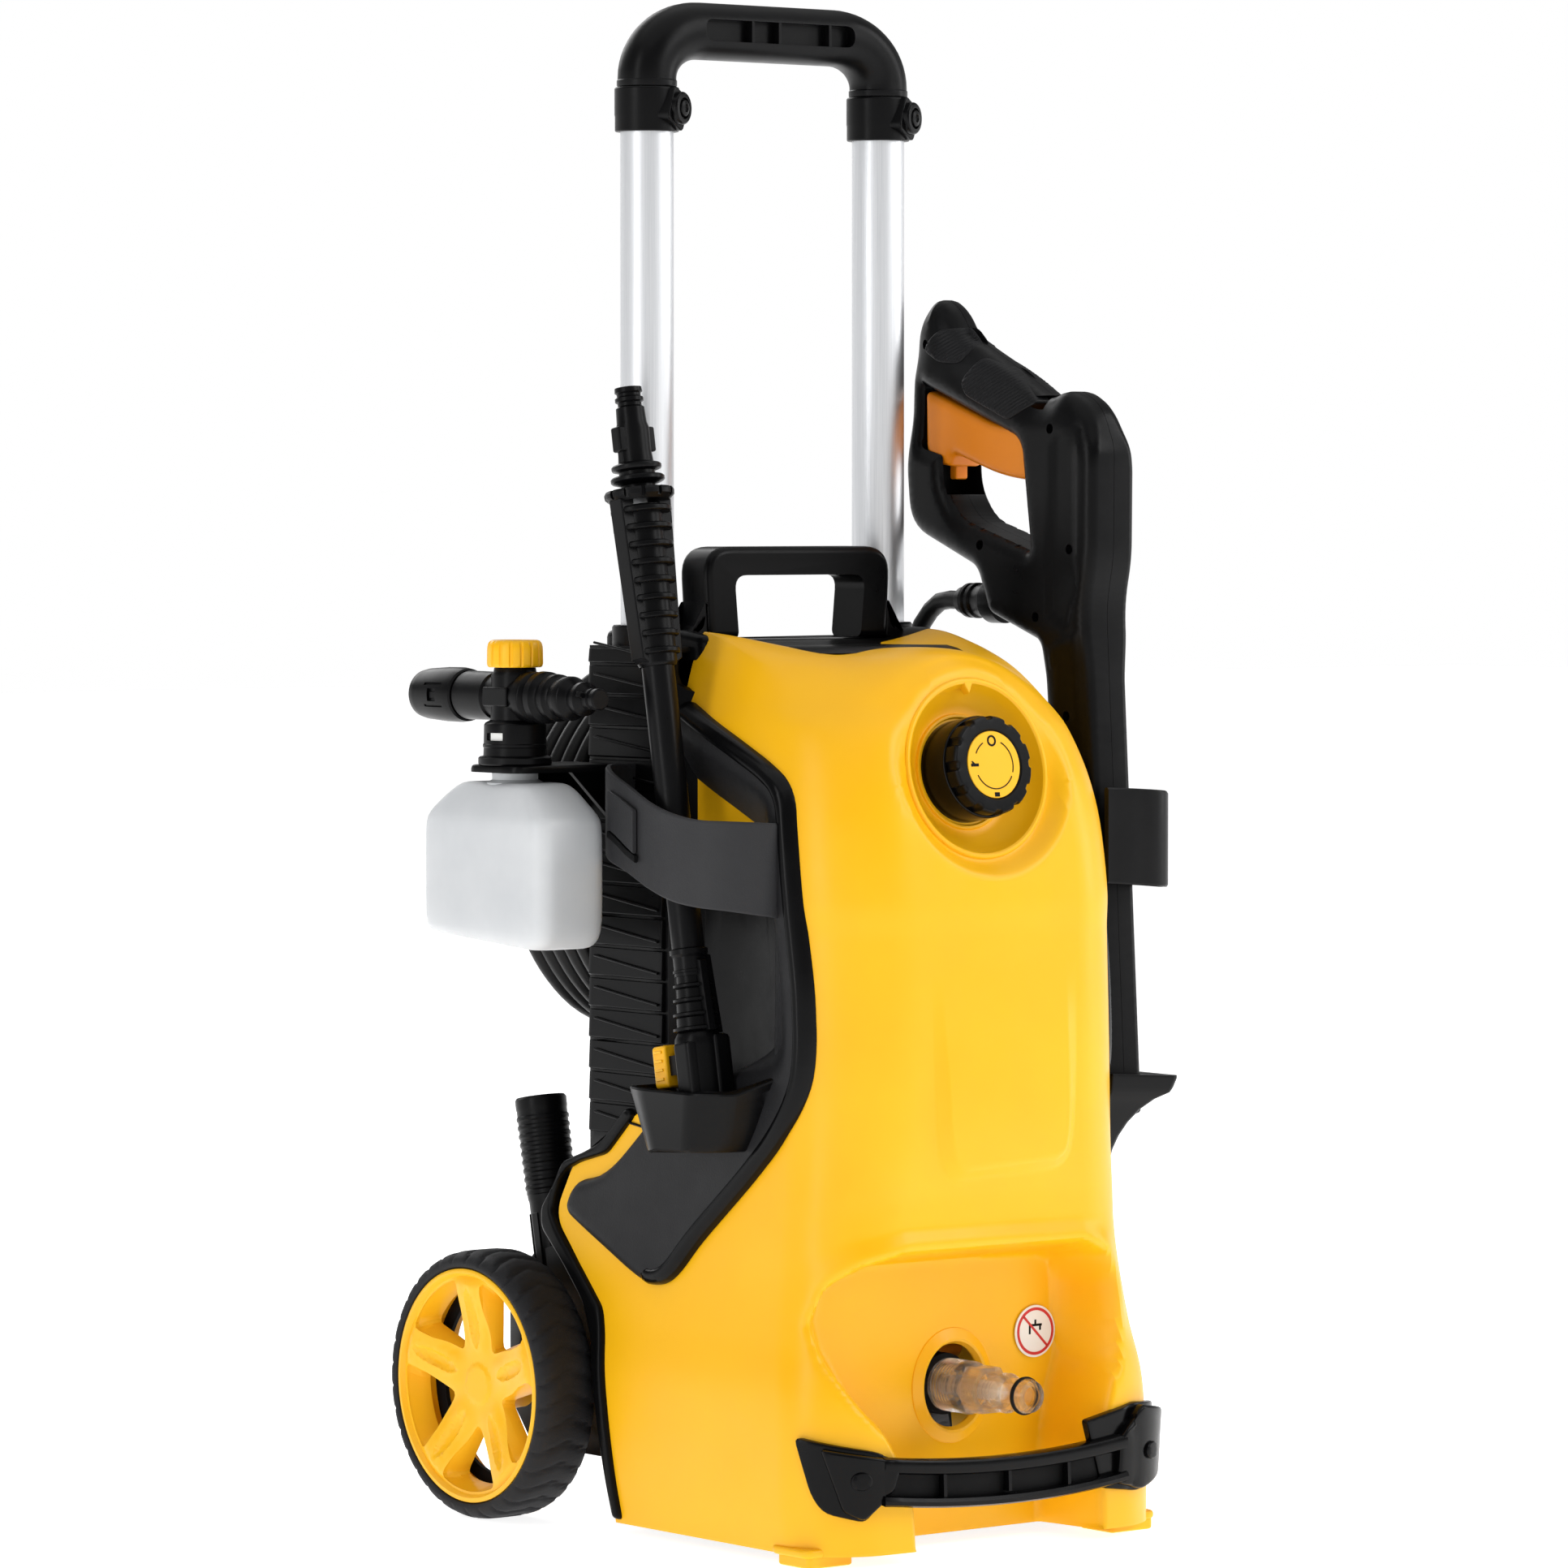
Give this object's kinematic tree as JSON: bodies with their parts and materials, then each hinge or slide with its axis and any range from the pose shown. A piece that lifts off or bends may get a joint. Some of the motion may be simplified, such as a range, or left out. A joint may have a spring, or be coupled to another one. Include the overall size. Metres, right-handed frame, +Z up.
{
  "type": "pressure washer",
  "caption": "Upright wheeled pressure washer with telescopic handle, side-stored spray gun, lance, foam bottle and rear hose coil.",
  "frame": {"origin": "centre of the footprint on the floor", "axes": "+Z up, front with the knob and water inlet towards -Y, +X to the right seen from the front"},
  "size_m": [0.326, 0.3592, 0.8007],
  "materials": {
    "yellow_plastic": "satin gloss",
    "orange_plastic": "satin",
    "black_plastic": "satin",
    "grey_plastic": "fine texture",
    "tyre_rubber": "matt",
    "hose_rubber": "satin",
    "clear_plastic": "clear, smoky",
    "milky_plastic": "translucent",
    "white_plastic": "matt",
    "aluminium": "satin anodised",
    "cast_aluminium": "as cast",
    "steel": "satin",
    "brass": "machined"
  },
  "bodies": {
    "chassis": {"front_cover": "yellow_plastic", "foot_left": "yellow_plastic", "foot_right": "yellow_plastic", "rear_housing": "black_plastic", "base_tray": "black_plastic", "side_trim_left": "grey_plastic", "side_trim_right": "grey_plastic", "carry_handle": "black_plastic", "bumper": "black_plastic", "axle": "steel", "motor_can": "steel", "pump_head": "cast_aluminium", "piston_a": "steel", "piston_b": "steel", "piston_c": "steel", "outlet_fitting": "brass", "inlet_fitting": "brass", "inlet_filter": "clear_plastic", "switch_box": "grey_plastic", "power_gland": "black_plastic", "sleeve_left": "black_plastic", "sleeve_right": "black_plastic", "lance_strap": "grey_plastic", "lance_cup": "grey_plastic", "gun_strap": "grey_plastic", "gun_cup": "grey_plastic", "bottle_fork": "black_plastic", "hose_hanger": "black_plastic", "hose_outlet": "black_plastic", "hose_coil": "hose_rubber", "hose_to_gun": "hose_rubber"},
    "trolley_handle": {"pole_left": "aluminium", "pole_right": "aluminium", "collar_left": "black_plastic", "collar_right": "black_plastic", "grip": "black_plastic"},
    "switch_knob": {"knob": "black_plastic", "knob_label": "yellow_plastic"},
    "wheel_left": {"rim_left": "yellow_plastic", "tyre_left": "tyre_rubber"},
    "wheel_right": {"rim_right": "yellow_plastic", "tyre_right": "tyre_rubber"},
    "rotor": {"rotor_shaft": "steel", "motor_fan": "white_plastic", "wobble_plate": "steel"},
    "gun": {"gun_shell_left": "black_plastic", "gun_shell_right": "black_plastic", "gun_inlet": "black_plastic"},
    "trigger": {"gun_trigger": "orange_plastic"},
    "lock": {"trigger_lock": "orange_plastic"},
    "lance": {"lance_tube": "black_plastic", "lance_grip": "black_plastic", "lance_connector": "black_plastic", "lance_head": "black_plastic"},
    "lance_release": {"lance_button": "yellow_plastic"},
    "foam_lance": {"foam_bottle": "milky_plastic", "foam_body": "black_plastic"},
    "foam_dial": {"foam_knob": "yellow_plastic"},
    "foam_spray_tip": {"foam_nozzle": "black_plastic"},
    "turbo": {"turbo_nozzle": "black_plastic"}
  },
  "joints": [
    {"name": "handle_slide", "type": "slide", "parent": "chassis", "child": "trolley_handle", "axis": [0, 0, 1], "range_m": [-0.205, 0]},
    {"name": "knob_turn", "type": "hinge", "parent": "chassis", "child": "switch_knob", "pos_m": [0.013, -0.11935, 0.398], "axis": [0, 0.9848, -0.1736], "range_deg": [0, 90]},
    {"name": "wheel_left_spin", "type": "hinge", "parent": "chassis", "child": "wheel_left", "pos_m": [-0.117, 0.10865, 0.071], "axis": [1, 0, 0], "continuous": true},
    {"name": "wheel_right_spin", "type": "hinge", "parent": "chassis", "child": "wheel_right", "pos_m": [0.143, 0.10865, 0.071], "axis": [1, 0, 0], "continuous": true},
    {"name": "rotor_spin", "type": "hinge", "parent": "chassis", "child": "rotor", "pos_m": [0.013, -0.03635, 0.2], "axis": [0, 0, 1], "continuous": true},
    {"name": "gun_lift", "type": "slide", "parent": "chassis", "child": "gun", "axis": [0, 0.0698, 0.9976], "range_m": [0, 0.15]},
    {"name": "trigger_pull", "type": "hinge", "parent": "gun", "child": "trigger", "pos_m": [0.138, -0.04335, 0.571], "axis": [1, 0, 0], "range_deg": [0, 10], "stiffness_Nm_per_rad": 1, "springref_deg": -11.46},
    {"name": "trigger_lock_turn", "type": "hinge", "parent": "trigger", "child": "lock", "pos_m": [0.138, 0.02915, 0.558], "axis": [-1, 0, 0], "range_deg": [0, 45]},
    {"name": "lance_lift", "type": "slide", "parent": "chassis", "child": "lance", "axis": [0, 0.1736, 0.9848], "range_m": [0, 0.16]},
    {"name": "lance_button_press", "type": "slide", "parent": "lance", "child": "lance_release", "axis": [0, -0.9848, 0.1736], "range_m": [0, 0.0025], "stiffness_N_per_m": 800, "springref_m": -0.002},
    {"name": "foam_slide", "type": "slide", "parent": "chassis", "child": "foam_lance", "axis": [-1, 0, 0], "range_m": [0, 0.1]},
    {"name": "foam_dial_turn", "type": "hinge", "parent": "foam_lance", "child": "foam_dial", "pos_m": [-0.14, 0.05565, 0.458], "axis": [0, 0, 1], "range_deg": [0, 270]},
    {"name": "foam_tip_turn", "type": "hinge", "parent": "foam_lance", "child": "foam_spray_tip", "pos_m": [-0.14, 0.11565, 0.436], "axis": [0, 1, 0], "range_deg": [0, 90]},
    {"name": "turbo_lift", "type": "slide", "parent": "chassis", "child": "turbo", "axis": [0, 0.1908, 0.9816], "range_m": [0, 0.055]}
  ]
}
